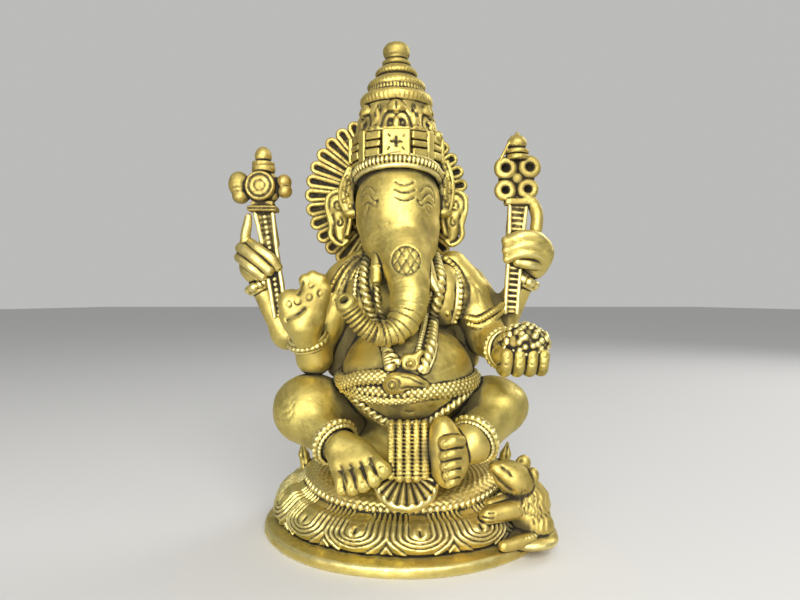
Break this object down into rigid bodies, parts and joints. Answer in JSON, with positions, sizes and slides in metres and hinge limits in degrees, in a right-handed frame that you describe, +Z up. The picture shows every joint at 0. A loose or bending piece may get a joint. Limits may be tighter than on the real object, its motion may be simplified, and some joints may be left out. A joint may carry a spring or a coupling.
{
  "type": "hindu deity statue",
  "caption": "Seated elephant-headed deity in cast brass on a round lotus base, with a tiered crown, a rayed halo, hand-held emblems and a small mouse at the foot.",
  "frame": {"origin": "centre of the round base's footprint, on the surface it stands on", "axes": "+Z up; the figure faces -Y; its own right hand is at -X and its own left hand at +X"},
  "size_m": [0.1012, 0.0818, 0.15],
  "materials": {
    "pedestal": "cast, aged, dark in the grooves",
    "body": "cast, worn bright on the high spots",
    "cloth": "cast, chased lines",
    "jewellery": "cast, chased, dark in the grooves",
    "crown": "cast, chased, dark in the grooves",
    "halo": "cast, as-cast dark patina",
    "emblems": "cast, as-cast dark patina",
    "mouse": "cast, chased lines"
  },
  "bodies": {
    "root": {"base_plate": "pedestal", "lotus_pedestal": "pedestal", "lotus_petals": "pedestal", "seat_cushion": "pedestal", "seat_bead_rim": "pedestal", "seat_leaves": "pedestal", "torso": "body", "right_leg": "body", "left_leg": "body", "right_foot": "body", "left_foot": "body", "right_front_arm": "body", "left_front_arm": "body", "right_front_hand": "body", "left_front_hand": "body", "right_rear_arm": "body", "left_rear_arm": "body", "right_rear_hand": "body", "left_rear_hand": "body", "head": "body", "trunk": "body", "right_tusk": "body", "left_tusk": "body", "right_ear": "body", "left_ear": "body", "apron_pleats": "cloth", "cloth_fan": "cloth", "waist_cord": "cloth", "right_anklet": "jewellery", "left_anklet": "jewellery", "right_front_bracelet": "jewellery", "left_front_bracelet": "jewellery", "right_rear_bracelet": "jewellery", "left_rear_bracelet": "jewellery", "right_garland": "jewellery", "left_garland": "jewellery", "sacred_thread": "jewellery", "pendant": "jewellery", "snake_belt": "jewellery", "snake_head": "jewellery", "crown_band": "crown", "crown_body": "crown", "crown_spire": "crown", "crown_finial": "crown", "right_lappet": "crown", "left_lappet": "crown", "halo": "halo", "axe_shaft": "emblems", "axe_head": "emblems", "axe_finial": "emblems", "noose_shaft": "emblems", "noose_head": "emblems", "noose_finial": "emblems", "sweet_bowl": "emblems", "mouse_rock": "mouse", "mouse": "mouse", "mouse_ears": "mouse", "mouse_tail": "mouse"}
  },
  "joints": []
}
